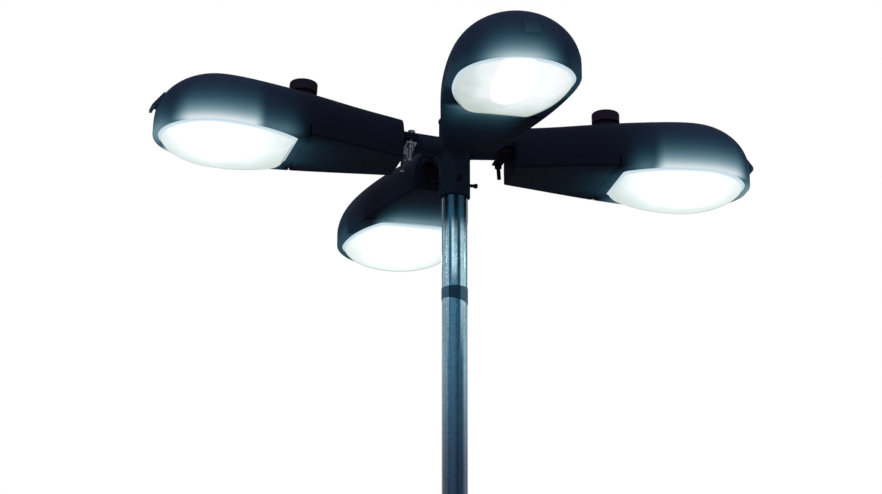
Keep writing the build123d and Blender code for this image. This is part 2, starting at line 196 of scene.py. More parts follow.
@dataclass(frozen=True)
class Finish:
    """A surface finish with a base colour, gloss and a fine pattern."""

    name: str
    colour: str
    roughness: float
    metallic: float = 0.0
    specular: float = 0.5
    shade_colour: str = "000000"
    pattern_mm: float = 12.0
    pattern_share: float = 0.3
    pattern_detail: float = 4.0
    bump_mm: float = 0.1
    bump_strength: float = 0.5

    def start(self) -> tuple[Material, Tree, Node]:
        """Make the material with its shader.

        Returns:
            The material, its node tree and its shader node.
        """
        material = bpy.data.materials.new(self.name)
        material.use_nodes = True
        tree = material.node_tree
        tree.nodes.clear()
        shader = add_node(tree, "ShaderNodeBsdfPrincipled", {
            "Base Color": linear(self.colour), "Roughness": self.roughness,
            "Metallic": self.metallic, "Specular IOR Level": self.specular})
        add_node(tree, "ShaderNodeOutputMaterial", {"Surface": shader.outputs["BSDF"]})
        return material, tree, shader

    def place(self, tree: Tree) -> Socket:
        """Give the coordinates that the pattern follows.

        Args:
            tree: the material's node tree.

        Returns:
            The coordinate socket.
        """
        return add_node(tree, "ShaderNodeTexCoord").outputs["Object"]

    def noise(self, tree: Tree, where: Socket, size_mm: float, detail: float) -> Socket:
        """Make a noise pattern.

        Args:
            tree: the material's node tree.
            where: coordinates.
            size_mm: size of its grain.
            detail: how many finer layers it has.

        Returns:
            The pattern, from 0 to 1.
        """
        node = add_node(tree, "ShaderNodeTexNoise", {
            "Vector": where, "Scale": 1.0 / (size_mm * MM), "Detail": detail})
        return node.outputs["Fac"]

    def vary_gloss(self, tree: Tree, shader: Node, pattern: Socket, most: float = 1.0) -> None:
        """Let the roughness follow a pattern.

        Args:
            tree: the material's node tree.
            shader: its shader.
            pattern: what it follows.
            most: highest value of the pattern.
        """
        rough = add_node(tree, "ShaderNodeMapRange", {
            "Value": pattern, "From Max": most,
            "To Min": self.roughness * (1 - self.pattern_share),
            "To Max": min(self.roughness * (1 + self.pattern_share), 1.0)})
        tree.links.new(rough.outputs["Result"], shader.inputs["Roughness"])

    def raise_relief(self, tree: Tree, shader: Node, pattern: Socket) -> None:
        """Let the surface rise with a pattern.

        Args:
            tree: the material's node tree.
            shader: its shader.
            pattern: height of the surface, from 0 to 1.
        """
        bump = add_node(tree, "ShaderNodeBump", {
            "Height": pattern, "Distance": self.bump_mm * MM, "Strength": self.bump_strength})
        tree.links.new(bump.outputs["Normal"], shader.inputs["Normal"])

    def mottle(self, tree: Tree, shader: Node, where: Socket) -> None:
        """Break up colour, gloss and surface with noise of the pattern's size.

        Args:
            tree: the material's node tree.
            shader: its shader.
            where: coordinates.
        """
        noise = self.noise(tree, where, self.pattern_mm, self.pattern_detail)
        tree.links.new(blend(tree, noise, linear(self.colour), linear(self.shade_colour)),
                       shader.inputs["Base Color"])
        self.vary_gloss(tree, shader, noise)
        self.raise_relief(tree, shader, noise)

    def build(self) -> Material:
        """Build the material.

        Returns:
            The finished material.
        """
        material, tree, shader = self.start()
        self.mottle(tree, shader, self.place(tree))
        return material


@dataclass(frozen=True)
class GalvanisedPole(Finish):
    """Hot-dip galvanised tube: spangled zinc with drawn lines, plain grey at the foot, with painted lamp
    light on high, painted shade lower down and painted reflections running up the tube.

    Ranges and the ends of runs are heights above the base, and face_way points from the pole to where
    the photograph was taken.
    """

    bump_strength: float = 0.4
    # The main colour is painted lamp light on high, low_colour is painted shade below it and foot_colour is
    # plain grey zinc
    low_colour: str = "394659"
    foot_colour: str = "717e8b"
    # The dark colours paint a dark reflection down two sides of the tube
    dark_high: str = "24485c"
    dark_low: str = "122335"
    dark_foot: str = "4c5864"
    clean_range: tuple[float, float] = (6.93, 7.54)
    foot_range: tuple[float, float] = (5.30, 6.85)
    face_way: tuple[float, float] = (-0.242, -0.970)
    dark_runs: float = 2.0
    dark_turn_deg: float = 6.0
    dark_edges: tuple[float, float] = (0.0, 0.55)
    # Painted reflections below the sleeve: bright runs of the lamps, dark runs between them and a dark band
    # under the sleeve
    run_colour: str = "829fac"
    gap_colour: str = "12384a"
    top_colour: str = "0e2837"
    face_run_low: tuple[float, float] = (7.556, 7.645)
    side_run_low: tuple[float, float] = (7.30, 7.58)
    run_high: tuple[float, float] = (7.72, 7.785)
    top_range: tuple[float, float] = (7.76, 7.84)
    bright_runs: float = 4.0
    gap_turn_deg: float = 20.0
    gap_edges: tuple[float, float] = (0.28, 0.60)
    spangle_mm: float = 9.0
    line_mm: float = 5.0
    line_detail: float = 3.0
    line_stretch: float = 0.012

    def tones(self, tree: Tree, where: Socket) -> Socket:
        """Colour the zinc: paler on high with painted lamp light and at the foot in plain grey, with painted
        shade between and a painted dark reflection running down two sides.

        Args:
            tree: the material's node tree.
            where: coordinates.

        Returns:
            The colour.
        """
        split = add_node(tree, "ShaderNodeSeparateXYZ", {"Vector": where})
        height = split.outputs["Z"]
        # Painted lamp light on high, painted shade lower down, plain grey zinc at the foot
        high, middle = step(tree, height, *self.clean_range), step(tree, height, *self.foot_range)
        pale, dark = (blend(tree, high, blend(tree, middle, linear(foot), linear(low)), linear(top))
                      for foot, low, top in ((self.foot_colour, self.low_colour, self.colour),
                                             (self.dark_foot, self.dark_low, self.dark_high)))
        # A painted dark reflection runs down the side that face_way points to and down the opposite side
        facing, across = (add_node(tree, "ShaderNodeVectorMath", {0: where, 1: way}, operation="DOT_PRODUCT")
                          for way in ((*self.face_way, 0.0), (-self.face_way[1], self.face_way[0], 0.0)))
        angle = combine(tree, "ARCTAN2", across.outputs["Value"], facing.outputs["Value"])
        turned = combine(tree, "SUBTRACT", angle, math.radians(self.dark_turn_deg))
        wave = apply(tree, "COSINE", combine(tree, "MULTIPLY", turned, self.dark_runs))
        body = blend(tree, step(tree, wave, *self.dark_edges), pale, dark)
        return self.lamp_runs(tree, body, angle, height)

    def lamp_runs(self, tree: Tree, body: Socket, angle: Socket, height: Socket) -> Socket:
        """Lay painted reflections of the lamps as bright runs up the tube below the sleeve, over painted
        dark reflections.

        Args:
            tree: the material's node tree.
            body: colour of the zinc elsewhere.
            angle: turn about the pole.
            height: height above the base.

        Returns:
            The colour.
        """
        level = math.cos(self.bright_runs * math.radians(self.gap_turn_deg))
        turns = apply(tree, "COSINE", combine(tree, "MULTIPLY", angle, self.bright_runs))
        wave = combine(tree, "SUBTRACT", turns, level)
        run = step(tree, apply(tree, "ABSOLUTE", wave), *self.gap_edges)
        # Painted dark reflections under the sleeve, crossed by painted bright reflections of the lamps
        reach = add_node(tree, "ShaderNodeMix", {
            0: step(tree, wave, -level, level), 2: step(tree, height, *self.side_run_low),
            3: step(tree, height, *self.face_run_low)}).outputs[0]
        bright = combine(tree, "MULTIPLY", run, reach, step(tree, height, *self.run_high, 1.0, 0.0))
        shade = blend(tree, step(tree, height, *self.top_range), linear(self.gap_colour),
                      linear(self.top_colour))
        return blend(tree, bright, blend(tree, reach, body, shade), linear(self.run_colour))

    def build(self) -> Material:
        """Build the material.

        Returns:
            The finished material.
        """
        material, tree, shader = self.start()
        where = self.place(tree)
        along = add_node(tree, "ShaderNodeMapping", {
            "Vector": where, "Scale": (1.0, 1.0, self.line_stretch)})
        lines = self.noise(tree, along.outputs["Vector"], self.line_mm, self.line_detail)
        cells = add_node(tree, "ShaderNodeTexVoronoi", {
            "Vector": where, "Scale": 1.0 / (self.spangle_mm * MM)})
        grey = add_node(tree, "ShaderNodeSeparateColor", {"Color": cells.outputs["Color"]})
        patterns = (lines, grey.outputs["Red"])
        both, most = combine(tree, "ADD", *patterns), float(len(patterns))
        gain = add_node(tree, "ShaderNodeMapRange", {
            "Value": both, "From Max": most,
            "To Min": 1 - self.pattern_share, "To Max": 1 + self.pattern_share})
        tone = add_node(tree, "ShaderNodeVectorMath", {
            0: self.tones(tree, where), "Scale": gain.outputs["Result"]}, operation="SCALE")
        tree.links.new(tone.outputs["Vector"], shader.inputs["Base Color"])
        self.vary_gloss(tree, shader, both, most)
        self.raise_relief(tree, shader, lines)
        return material


@dataclass(frozen=True)
class GlossTape(GalvanisedPole):
    """Gloss vinyl tape round the tube, with the same painted light, shade and reflections as the zinc in
    darker blues.
    """

    dark_high: str = "0d2a42"
    run_colour: str = "3f627a"
    gap_colour: str = "0a2840"


@dataclass(frozen=True)
class HeadFinish(Finish):
    """A finish whose pattern lies in a head's own frame."""

    origin: tuple[float, float, float] = (0.0, 0.0, 0.0)
    turn: tuple[float, float, float] = (0.0, 0.0, 0.0)

    def place(self, tree: Tree) -> Socket:
        """Give coordinates in the head's frame, x outward and z up.

        Args:
            tree: the material's node tree.

        Returns:
            The coordinate socket.
        """
        mapping = add_node(tree, "ShaderNodeMapping", {
            "Vector": add_node(tree, "ShaderNodeTexCoord").outputs["Object"],
            "Location": self.origin, "Rotation": self.turn}, vector_type="TEXTURE")
        return mapping.outputs["Vector"]


@dataclass(frozen=True)
class CastPaint(HeadFinish):
    """Dark satin paint on die-cast aluminium, with the lamp's spill light round the glass."""

    front_colour: str = "1d2639"
    front_range: tuple[float, float] = (0.18, 0.50)
    side_level: float = 0.0
    nose_level: float = 0.0
    rear_level: float = 0.0
    spill_offset: float = 0.0
    strong_from: float = 0.405
    strong_edge: float = 0.020
    weak_share: float = 0.18
    side_start: tuple[float, float] = (0.255, 0.330)
    side_end: tuple[float, float] = (0.60, 0.685)
    side_edge: tuple[float, float] = (0.09, 0.15)
    nose_start: tuple[float, float] = (0.56, 0.66)
    nose_edge: tuple[float, float] = (0.02, 0.15)
    rear_end: tuple[float, float] = (0.273, 0.300)
    rear_edge: tuple[float, float] = (0.05, 0.14)
    glass_back: float = 0.273
    behind_share: float = 0.55
    fade_mm: float = 25.6
    tint_powers: tuple[float, float, float] = (1.35, 1.0, 0.9)

    def build(self) -> Material:
        """Build the material.

        Returns:
            The finished material.
        """
        material, tree, shader = self.start()
        where = self.place(tree)
        split = add_node(tree, "ShaderNodeSeparateXYZ", {"Vector": where})
        body = blend(tree, step(tree, split.outputs["X"], *self.front_range), linear(self.colour),
                     linear(self.front_colour))
        peel = self.noise(tree, where, self.pattern_mm, self.pattern_detail)
        tone = blend(tree, combine(tree, "MULTIPLY", peel, self.pattern_share), body,
                     linear(self.shade_colour))
        tree.links.new(tone, shader.inputs["Base Color"])
        self.vary_gloss(tree, shader, peel)
        self.raise_relief(tree, shader, peel)
        self.add_spill(tree, shader, split)
        return material

    def spill_level(self, tree: Tree, x: Socket, y: Socket) -> Socket:
        """Weigh the spill light on the sides, on the nose and behind the glass.

        Args:
            tree: the material's node tree.
            x: distance along the head.
            y: distance across it.

        Returns:
            The level at the edge of the glass.
        """
        off = apply(tree, "ABSOLUTE", combine(tree, "SUBTRACT", y, self.spill_offset))
        strong = step(tree, x, self.strong_from - self.strong_edge, self.strong_from + self.strong_edge,
                      self.weak_share, 1.0)
        sides = combine(tree, "MULTIPLY", strong, step(tree, x, *self.side_start),
                        step(tree, x, *self.side_end, 1.0, 0.0), step(tree, off, *self.side_edge),
                        self.side_level)
        nose = combine(tree, "MULTIPLY", step(tree, x, *self.nose_start),
                       step(tree, off, *self.nose_edge, 1.0, 0.0), self.nose_level)
        rear = combine(tree, "MULTIPLY", step(tree, x, *self.rear_end, 1.0, 0.0),
                       step(tree, off, *self.rear_edge, 1.0, 0.0), self.rear_level)
        return combine(tree, "ADD", sides, nose, rear)

    def add_spill(self, tree: Tree, shader: Node, split: Node) -> None:
        """Add the spill light, which fades and turns blue away from the edge of the glass.

        Args:
            tree: the material's node tree.
            shader: its shader.
            split: coordinates in the head's frame, taken apart.
        """
        x, y, z = (split.outputs[axis] for axis in "XYZ")
        above = combine(tree, "MAXIMUM", combine(tree, "SUBTRACT", z, HEAD_FLOOR), 0.0)
        behind = combine(tree, "MAXIMUM", combine(tree, "SUBTRACT", self.glass_back, x), 0.0)
        flat = add_node(tree, "ShaderNodeCombineXYZ", {
            "X": combine(tree, "MULTIPLY", behind, self.behind_share), "Z": above})
        far = add_node(tree, "ShaderNodeVectorMath", {0: flat.outputs[0]}, operation="LENGTH")
        fade = combine(tree, "POWER", math.e,
                       combine(tree, "DIVIDE", far.outputs["Value"], -self.fade_mm * MM))
        light = combine(tree, "MULTIPLY", fade, self.spill_level(tree, x, y))
        colour = add_node(tree, "ShaderNodeCombineColor")
        for channel, power in zip(("Red", "Green", "Blue"), self.tint_powers):
            tree.links.new(combine(tree, "POWER", light, power), colour.inputs[channel])
        tree.links.new(colour.outputs["Color"], shader.inputs["Emission Color"])
        shader.inputs["Emission Strength"].default_value = 1.0


@dataclass(frozen=True)
class LitGlass(HeadFinish):
    """Pressed prismatic glass over a burning lamp: white at the lamp, cooler and dimmer at the rim.

    rim_range is the depth below the housing's floor over which the glass's pale rim ends. Seen edge on,
    within the range edge_on, glass passes less of the light, down to edge_share.
    """

    bump_strength: float = 0.4
    strength: float = 25.0
    centre: tuple[float, float] = (0.480, 0.0)
    spot: tuple[float, float] = (0.480, 0.0)
    spot_inner: float = 0.020
    spot_outer: float = 0.062
    spot_stretch: float = 1.0
    rim_colour: str = "c9dde8"
    rim_range: tuple[float, float] = (0.010, 0.001)
    half_length: float = 0.200
    half_width: float = 0.172
    ramp_reach: float = 1.6
    blotch_mm: float = 55.0
    blotch_detail: float = 1.0
    blotch_share: float = 0.14
    flute_mm: float = 14.0
    flute_wobble: float = 0.6
    glare: float = 1.06
    edge_blend: float = 0.5
    edge_on: tuple[float, float] = (0.80, 0.97)
    edge_share: float = 0.35
    stops: tuple[tuple[float, str, float], ...] = (
        (0.0, "f4fdff", 1.08), (0.30, "fcffff", 1.04), (0.47, "f3fafb", 1.0), (0.60, "dfeae9", 1.0),
        (0.75, "cfdbd7", 1.0), (0.90, "c4d0ca", 1.0))

    def build(self) -> Material:
        """Build the material.

        Returns:
            The finished material.
        """
        material, tree, shader = self.start()
        where = self.place(tree)
        shift = add_node(tree, "ShaderNodeMapping", {
            "Vector": where, "Location": (*self.centre, 0.0),
            "Scale": (self.half_length * self.ramp_reach, self.half_width * self.ramp_reach, 1.0)},
            vector_type="TEXTURE")
        level = add_node(tree, "ShaderNodeVectorMath", {
            0: shift.outputs["Vector"], 1: (1.0, 1.0, 0.0)}, operation="MULTIPLY")
        far = add_node(tree, "ShaderNodeVectorMath", {0: level.outputs["Vector"]}, operation="LENGTH")
        cloud = self.noise(tree, where, self.blotch_mm, self.blotch_detail)
        drift = combine(tree, "MULTIPLY", combine(tree, "SUBTRACT", cloud, 0.5), self.blotch_share)
        reach = combine(tree, "ADD", far.outputs["Value"], drift)
        rim = ramp_stops(add_node(tree, "ShaderNodeValToRGB", {"Fac": reach}),
                         [(place, colour, self.glare * shown / self.strength)
                          for place, colour, shown in self.stops])
        along = 1.0 / self.spot_stretch
        flat = add_node(tree, "ShaderNodeVectorMath", {
            0: where, 1: (along, 1.0, 0.0)}, operation="MULTIPLY")
        away = add_node(tree, "ShaderNodeVectorMath", {
            0: flat.outputs["Vector"], 1: (self.spot[0] * along, self.spot[1], 0.0)},
            operation="DISTANCE")
        hot = step(tree, away.outputs["Value"], self.spot_inner, self.spot_outer, 1.0, 0.0)
        inside = add_node(tree, "ShaderNodeVectorMath", {0: rim.outputs["Color"], 1: hot}, operation="ADD")
        height = add_node(tree, "ShaderNodeSeparateXYZ", {"Vector": where}).outputs["Z"]
        lip = step(tree, height, *(HEAD_FLOOR - depth for depth in self.rim_range))
        edge = [c / self.strength for c in linear(self.rim_colour)[:3]]
        glow = add_node(tree, "ShaderNodeMix", {0: lip, 4: inside.outputs["Vector"], 5: edge},
                        data_type="VECTOR")
        thick = add_node(tree, "ShaderNodeLayerWeight", {"Blend": self.edge_blend}).outputs["Facing"]
        lit = add_node(tree, "ShaderNodeVectorMath", {
            0: glow.outputs[1], "Scale": step(tree, thick, *self.edge_on, 1.0, self.edge_share)},
            operation="SCALE")
        flutes = add_node(tree, "ShaderNodeTexWave", {
            "Vector": where, "Scale": 1.0 / (self.flute_mm * MM), "Distortion": self.flute_wobble},
            bands_direction="X")
        self.raise_relief(tree, shader, flutes.outputs["Fac"])
        tree.links.new(lit.outputs["Vector"], shader.inputs["Emission Color"])
        shader.inputs["Emission Strength"].default_value = self.strength
        return material


@dataclass(frozen=True)
class LampGlass(Finish):
    """Clear bulb of a burning discharge lamp, white with warmer clouds."""

    strength: float = 6.0
    pattern_detail: float = 2.0
    stops: tuple[tuple[float, str, float], ...] = ((0.3, "ffffff", 1.0), (0.8, "fff3de", 1.0))

    def build(self) -> Material:
        """Build the material.

        Returns:
            The finished material.
        """
        material, tree, shader = self.start()
        cloud = self.noise(tree, self.place(tree), self.pattern_mm, self.pattern_detail)
        warm = ramp_stops(add_node(tree, "ShaderNodeValToRGB", {"Fac": cloud}), self.stops)
        tree.links.new(warm.outputs["Color"], shader.inputs["Emission Color"])
        shader.inputs["Emission Strength"].default_value = self.strength
        return material


@dataclass(frozen=True)
class FloorPaint(Finish):
    """Matt floor paint with a faint roller mottle, thinning out to nothing round its edge."""

    fade_from: float = 0.4
    fade_to: float = 2.0

    def build(self) -> Material:
        """Build the material.

        Returns:
            The finished material.
        """
        material, tree, shader = self.start()
        where = self.place(tree)
        self.mottle(tree, shader, where)
        away = add_node(tree, "ShaderNodeVectorMath", {0: where}, operation="LENGTH")
        tree.links.new(step(tree, away.outputs["Value"], self.fade_from, self.fade_to, 1.0, 0.0),
                       shader.inputs["Alpha"])
        return material


# Meshes


def new_piece(name: str, mesh: bpy.types.Mesh, body: str) -> None:
    """Put a mesh into the scene as a piece that rides on a CAD body.

    Args:
        name: the piece's name.
        mesh: its mesh, in the row frame.
        body: CAD body that carries it.
    """
    piece = bpy.data.objects.new(name, mesh)
    bpy.context.scene.collection.objects.link(piece)
    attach(piece, body)
    LOG.info("piece %s on %s, %d faces", name, body, len(mesh.polygons))


def dress(node: str, material: Material) -> None:
    """Give a CAD node its material.

    Args:
        node: the node's name.
        material: what it is finished in.
    """
    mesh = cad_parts[node].data
    mesh.materials.clear()
    mesh.materials.append(material)
    LOG.info("dressed %s in %s", node, material.name)


class NodeTool:
    """A geometry node tree that makes a mesh from a guide and named sizes."""

    def __init__(self, name: str) -> None:
        """Start a tree with a guide going in and a mesh coming out.

        Args:
            name: the tree's name.
        """
        self.tree = bpy.data.node_groups.new(name, "GeometryNodeTree")
        self.tree.interface.new_socket("Guide", in_out="INPUT", socket_type="NodeSocketGeometry")
        self.tree.interface.new_socket("Mesh", in_out="OUTPUT", socket_type="NodeSocketGeometry")
        self.sockets: dict[str, str] = {}

    def size(self, name: str, socket_type: str = "NodeSocketFloat") -> None:
        """Add a named input.

        Args:
            name: what the input sets.
            socket_type: Blender's socket type.
        """
        made = self.tree.interface.new_socket(name, in_out="INPUT", socket_type=socket_type)
        self.sockets[name] = made.identifier

    def close(self, geometry: Socket, material: Socket) -> None:
        """End the tree with real faces in one material.

        Args:
            geometry: what the tree made.
            material: the material input.
        """
        real = add_node(self.tree, "GeometryNodeRealizeInstances", {"Geometry": geometry})
        painted = add_node(self.tree, "GeometryNodeSetMaterial", {
            "Geometry": real.outputs["Geometry"], "Material": material})
        add_node(self.tree, "NodeGroupOutput", {"Mesh": painted.outputs["Geometry"]})

    def run(self, guide: bpy.types.Object, name: str, **sizes: Any) -> bpy.types.Mesh:
        """Run the tree on a guide object and keep the result as a plain mesh.

        Args:
            guide: object that holds the guide, removed afterwards.
            name: name of the mesh.
            sizes: values of the named inputs, spaces written as underscores.

        Returns:
            The mesh.
        """
        modifier = guide.modifiers.new(self.tree.name, "NODES")
        modifier.node_group = self.tree
        for key, value in sizes.items():
            modifier[self.sockets[key.replace("_", " ")]] = value
        graph = bpy.context.evaluated_depsgraph_get()
        graph.update()
        mesh = bpy.data.meshes.new_from_object(guide.evaluated_get(graph))
        mesh.name = name
        data = guide.data
        guide.modifiers.remove(modifier)
        bpy.data.objects.remove(guide)
        if isinstance(data, bpy.types.Curve):
            bpy.data.curves.remove(data)
        else:
            bpy.data.meshes.remove(data)
        return mesh


class WeldBead(NodeTool):
    """A rippled weld bead along closed paths."""

    RING_SIDES = 8

    def __init__(self) -> None:
        """Build the tree: a ring swept along the path, swelling with each ripple."""
        super().__init__("weld_bead")
        for name in ("Radius", "Ripple Length", "Ripple Share"):
            self.size(name)
        self.size("Material", "NodeSocketMaterial")
        tree = self.tree
        given = add_node(tree, "NodeGroupInput")
        along = add_node(tree, "GeometryNodeSplineParameter")
        turns = combine(tree, "DIVIDE", along.outputs["Length"], given.outputs["Ripple Length"])
        wave = apply(tree, "SINE", combine(tree, "MULTIPLY", turns, math.tau))
        swell = combine(tree, "ADD", combine(tree, "MULTIPLY", wave, given.outputs["Ripple Share"]), 1.0)
        radius = combine(tree, "MULTIPLY", swell, given.outputs["Radius"])
        ring = add_node(tree, "GeometryNodeCurvePrimitiveCircle", {
            "Resolution": self.RING_SIDES, "Radius": 1.0})
        swept = add_node(tree, "GeometryNodeCurveToMesh", {
            "Curve": given.outputs["Guide"], "Profile Curve": ring.outputs["Curve"], "Scale": radius})
        smooth = add_node(tree, "GeometryNodeSetShadeSmooth", {"Geometry": swept.outputs["Mesh"]})
        self.close(smooth.outputs["Geometry"], given.outputs["Material"])


class ScrewHeads(NodeTool):
    """Screw heads with a washer, one at each point of a guide, standing along its direction."""

    WASHER_SIDES = 24

    def __init__(self) -> None:
        """Build the tree: a washer and a head on every point, turned to the stored direction."""
        super().__init__("screw_heads")
        for name in ("Head Radius", "Head Height", "Washer Radius", "Washer Height"):
            self.size(name)
        self.size("Sides", "NodeSocketInt")
        self.size("Material", "NodeSocketMaterial")
        tree = self.tree
        given = add_node(tree, "NodeGroupInput")
        head = add_node(tree, "GeometryNodeMeshCylinder", {
            "Vertices": given.outputs["Sides"], "Radius": given.outputs["Head Radius"],
            "Depth": given.outputs["Head Height"]})
        washer = add_node(tree, "GeometryNodeMeshCylinder", {
            "Vertices": self.WASHER_SIDES, "Radius": given.outputs["Washer Radius"],
            "Depth": given.outputs["Washer Height"]})
        half_head, half_washer = (combine(tree, "MULTIPLY", given.outputs[name], 0.5)
                                  for name in ("Head Height", "Washer Height"))
        head_lift = combine(tree, "ADD", half_head, given.outputs["Washer Height"])
        both = add_node(tree, "GeometryNodeJoinGeometry")
        for part, height in ((head, head_lift), (washer, half_washer)):
            lift = add_node(tree, "ShaderNodeCombineXYZ", {"Z": height})
            raised = add_node(tree, "GeometryNodeTransform", {
                "Geometry": part.outputs["Mesh"], "Translation": lift.outputs[0]})
            tree.links.new(raised.outputs["Geometry"], both.inputs["Geometry"])
        direction = add_node(tree, "GeometryNodeInputNamedAttribute", {"Name": "stand"},
                             data_type="FLOAT_VECTOR")
        turned = add_node(tree, "FunctionNodeAlignRotationToVector", {
            "Vector": direction.outputs["Attribute"]}, axis="Z")
        points = add_node(tree, "GeometryNodeMeshToPoints", {"Mesh": given.outputs["Guide"]})
        placed = add_node(tree, "GeometryNodeInstanceOnPoints", {
            "Points": points.outputs["Points"], "Instance": both.outputs["Geometry"],
            "Rotation": turned.outputs["Rotation"]})
        self.close(placed.outputs["Instances"], given.outputs["Material"])


def path_guide(paths: Iterable[Sequence[Vector]]) -> bpy.types.Object:
    """Make a guide of closed paths.

    Args:
        paths: points of each closed path.

    Returns:
        A curve object.
    """
    curve = bpy.data.curves.new("guide", "CURVE")
    curve.dimensions = "3D"
    for points in paths:
        spline = curve.splines.new("POLY")
        spline.points.add(len(points) - 1)
        for made, point in zip(spline.points, points):
            made.co = (*point, 1.0)
        spline.use_cyclic_u = True
    guide = bpy.data.objects.new("guide", curve)
    bpy.context.scene.collection.objects.link(guide)
    return guide


def point_guide(places: Sequence[tuple[Vector, Vector]]) -> bpy.types.Object:
    """Make a guide of points with a direction each.

    Args:
        places: a point and the direction that it stands in.

    Returns:
        A mesh object of loose points.
    """
    mesh = bpy.data.meshes.new("guide")
    mesh.from_pydata([p for p, _ in places], [], [])
    stand = mesh.attributes.new("stand", "FLOAT_VECTOR", "POINT")
    for row, (_, direction) in zip(stand.data, places):
        row.vector = direction.normalized()
    guide = bpy.data.objects.new("guide", mesh)
    bpy.context.scene.collection.objects.link(guide)
    return guide


# Sub-assemblies


@dataclass
class Pole:
    """Base plate, stepped pole, hand-hole cover and the dark band."""

    tube_radius: float = 0.06985
    base_top: float = 0.020
    bead_radius: float = 0.0042
    bead_steps: int = 160
    ripple: float = 0.0065
    ripple_share: float = 0.12
    cover_radius: float = 0.07305
    cover_screws: tuple[float, ...] = (0.606, 0.794)
    screw_radius: float = 0.0055
    screw_height: float = 0.0035
    screw_sides: int = 6
    washer_radius: float = 0.0075
    washer_height: float = 0.0012
    body: str = "light"

    def dress(self, zinc: Material, band: Material) -> None:
        """Finish the pole's CAD nodes.

        Args:
            zinc: galvanised steel.
            band: dark band.
        """
        for node in ("base_plate", "base_ribs", "pole_lower_tube", "hand_hole_cover",
                     "pole_middle_tube", "pole_upper_tube"):
            dress(node, zinc)
        dress("pole_band", band)

    def build(self, weld: WeldBead, screws: ScrewHeads, zinc: Material, bright: Material) -> None:
        """Add the weld at the foot and the cover's screws.

        Args:
            weld: bead maker.
            screws: screw maker.
            zinc: galvanised steel.
            bright: bright zinc for the screws.
        """
        ring = [Vector((self.tube_radius * math.cos(a), self.tube_radius * math.sin(a), self.base_top))
                for a in (math.tau * i / self.bead_steps for i in range(self.bead_steps))]
        mesh = weld.run(path_guide([ring]), "foot_weld", Radius=self.bead_radius,
                        Ripple_Length=self.ripple, Ripple_Share=self.ripple_share, Material=zinc)
        new_piece("foot_weld", mesh, self.body)
        out = Vector((0.0, -1.0, 0.0))
        places = [(Vector((0.0, -self.cover_radius, z)), out) for z in self.cover_screws]
        heads = screws.run(point_guide(places), "cover_screws", Head_Radius=self.screw_radius,
                           Head_Height=self.screw_height, Washer_Radius=self.washer_radius,
                           Washer_Height=self.washer_height, Sides=self.screw_sides, Material=bright)
        new_piece("cover_screws", heads, self.body)


@dataclass
class Bracket:
    """Sleeve, cap, four arms and set screws on the pole top."""

    sleeve_radius: float = 0.046
    arm_radius: float = 0.03015
    bead_radius: float = 0.0036
    bead_steps: int = 96
    ripple: float = 0.0055
    ripple_share: float = 0.15
    body: str = "light"

    def dress(self, paint: Material, rust_and_shade: Material) -> None:
        """Finish the bracket's CAD nodes.

        Args:
            paint: dark paint.
            rust_and_shade: zinc for the set screws, painted near black as shade, with a maroon cast of rust.
        """
        for node in ("bracket_sleeve", "sleeve_cap", "bracket_arms"):
            dress(node, paint)
        dress("set_screws", rust_and_shade)

    def arm_root(self, side: Side) -> list[Vector]:
        """Trace where an arm meets the sleeve.

        Args:
            side: which arm.

        Returns:
            The closed path.
        """
        turn = Matrix.Rotation(math.radians(side.value), 3, "Z")
        tilt = Matrix.Rotation(math.radians(-ARM_RISE_DEG), 3, "Y")
        along = tilt @ Vector((1.0, 0.0, 0.0))
        path = []
        for i in range(self.bead_steps):
            a = math.tau * i / self.bead_steps
            start = tilt @ Vector((0.0, self.arm_radius * math.cos(a), self.arm_radius * math.sin(a)))
            reach = math.sqrt(self.sleeve_radius**2 - start.y**2)
            point = start + along * ((reach - start.x) / along.x)
            path.append(turn @ point + Vector((0.0, 0.0, BRACKET_HEIGHT)))
        return path

    def build(self, weld: WeldBead, paint: Material) -> None:
        """Add the welds at the arm roots.

        Args:
            weld: bead maker.
            paint: dark paint over the welds.
        """
        guide = path_guide([self.arm_root(side) for side in Side])
        mesh = weld.run(guide, "arm_welds", Radius=self.bead_radius, Ripple_Length=self.ripple,
                        Ripple_Share=self.ripple_share, Material=paint)
        new_piece("arm_welds", mesh, self.body)


